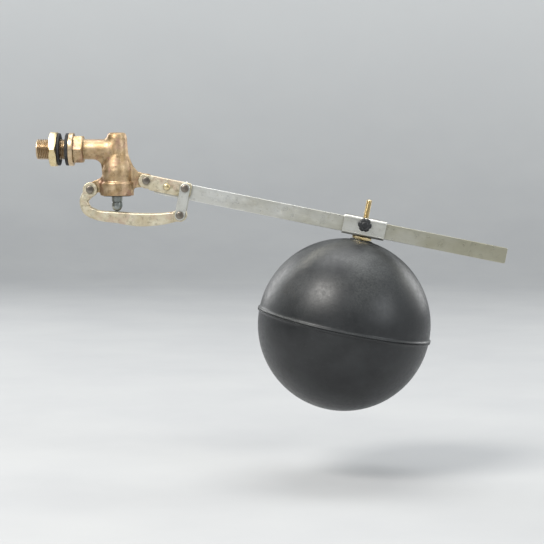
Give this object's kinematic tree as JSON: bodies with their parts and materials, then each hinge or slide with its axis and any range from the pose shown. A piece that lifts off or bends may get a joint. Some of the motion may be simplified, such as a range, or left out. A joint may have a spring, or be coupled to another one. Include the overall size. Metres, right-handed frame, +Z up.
{
  "type": "float valve",
  "caption": "Compound-lever float valve: threaded inlet, barrel with a piston, flat float bar on a pivot, link and lower lever, and a ball float on an adjustable clamp.",
  "frame": {"origin": "on the inlet's axis, at the wall gasket's face that meets the inside of the tank wall", "axes": "+X into the tank along the float bar, +Z up, +Y away from the side that carries the clamp's knob"},
  "size_m": [0.4819, 0.1814, 0.2869],
  "materials": {
    "cast_bronze": "cast, tarnished",
    "brass": "machined, dulled",
    "zinc_steel": "plated strip, dulled",
    "pin_steel": "dark, satin",
    "dark_metal": "dark, satin",
    "black_plastic": "moulded, satin",
    "rubber": "matt"
  },
  "bodies": {
    "base": {"valve_body": "cast_bronze", "wall_gasket": "rubber", "seat_nozzle": "brass", "guide_cap": "black_plastic", "arm_pivot_pin": "pin_steel", "arm_pivot_cotter": "zinc_steel", "lever_pivot_pin": "pin_steel", "lever_pivot_cotter": "zinc_steel"},
    "backnut": {"tank_backnut": "brass", "backnut_washer": "rubber"},
    "piston": {"piston": "dark_metal", "seat_disc": "rubber", "disc_screw": "brass"},
    "arm": {"float_bar": "zinc_steel", "arm_cheek_front": "brass", "arm_cheek_rear": "brass", "bar_rivet": "brass", "link_upper_pin": "pin_steel", "link_upper_cotter": "zinc_steel"},
    "link": {"link_plate_front": "zinc_steel", "link_plate_rear": "zinc_steel"},
    "lower_lever": {"lower_lever": "brass", "link_lower_pin": "pin_steel", "link_lower_cotter": "zinc_steel"},
    "clamp": {"clamp_saddle": "zinc_steel"},
    "knob": {"clamp_knob": "black_plastic", "clamp_stud": "brass"},
    "float": {"float_rod": "brass", "float_locknut": "brass", "float_insert": "brass", "float_shell_upper": "black_plastic", "float_shell_lower": "black_plastic"}
  },
  "joints": [
    {"name": "arm_swing", "type": "hinge", "parent": "base", "child": "arm", "pos_m": [0.0825, 0, -0.0319], "axis": [0, -1, 0], "range_deg": [0, 25]},
    {"name": "link_swing", "type": "hinge", "parent": "arm", "child": "link", "pos_m": [0.12241, 0, -0.03988], "axis": [0, -1, 0], "range_deg": [-19, 1]},
    {"name": "lower_lever_swing", "type": "hinge", "parent": "base", "child": "lower_lever", "pos_m": [0.0247, 0, -0.041], "axis": [0, -1, 0], "range_deg": [-1, 11]},
    {"name": "piston_slide", "type": "slide", "parent": "base", "child": "piston", "axis": [0, 0, 1], "range_m": [-0.0001, 0.0052]},
    {"name": "backnut_travel", "type": "slide", "parent": "base", "child": "backnut", "axis": [-1, 0, 0], "range_m": [0, 0.012]},
    {"name": "clamp_slide", "type": "slide", "parent": "arm", "child": "clamp", "axis": [0.9806, 0, -0.1959], "range_m": [-0.08, 0.12]},
    {"name": "float_height", "type": "slide", "parent": "clamp", "child": "float", "axis": [0.1959, 0, 0.9806], "range_m": [-0.018, 0]},
    {"name": "knob_turn", "type": "hinge", "parent": "clamp", "child": "knob", "pos_m": [0.30608, 0, -0.07658], "axis": [0, 1, 0], "continuous": true}
  ],
  "couplings": [
    {"joint": "link_swing", "follows": "arm_swing", "ratio": -0.734},
    {"joint": "lower_lever_swing", "follows": "arm_swing", "ratio": 0.419},
    {"joint": "piston_slide", "follows": "arm_swing", "m_per_rad": 0.0115}
  ]
}
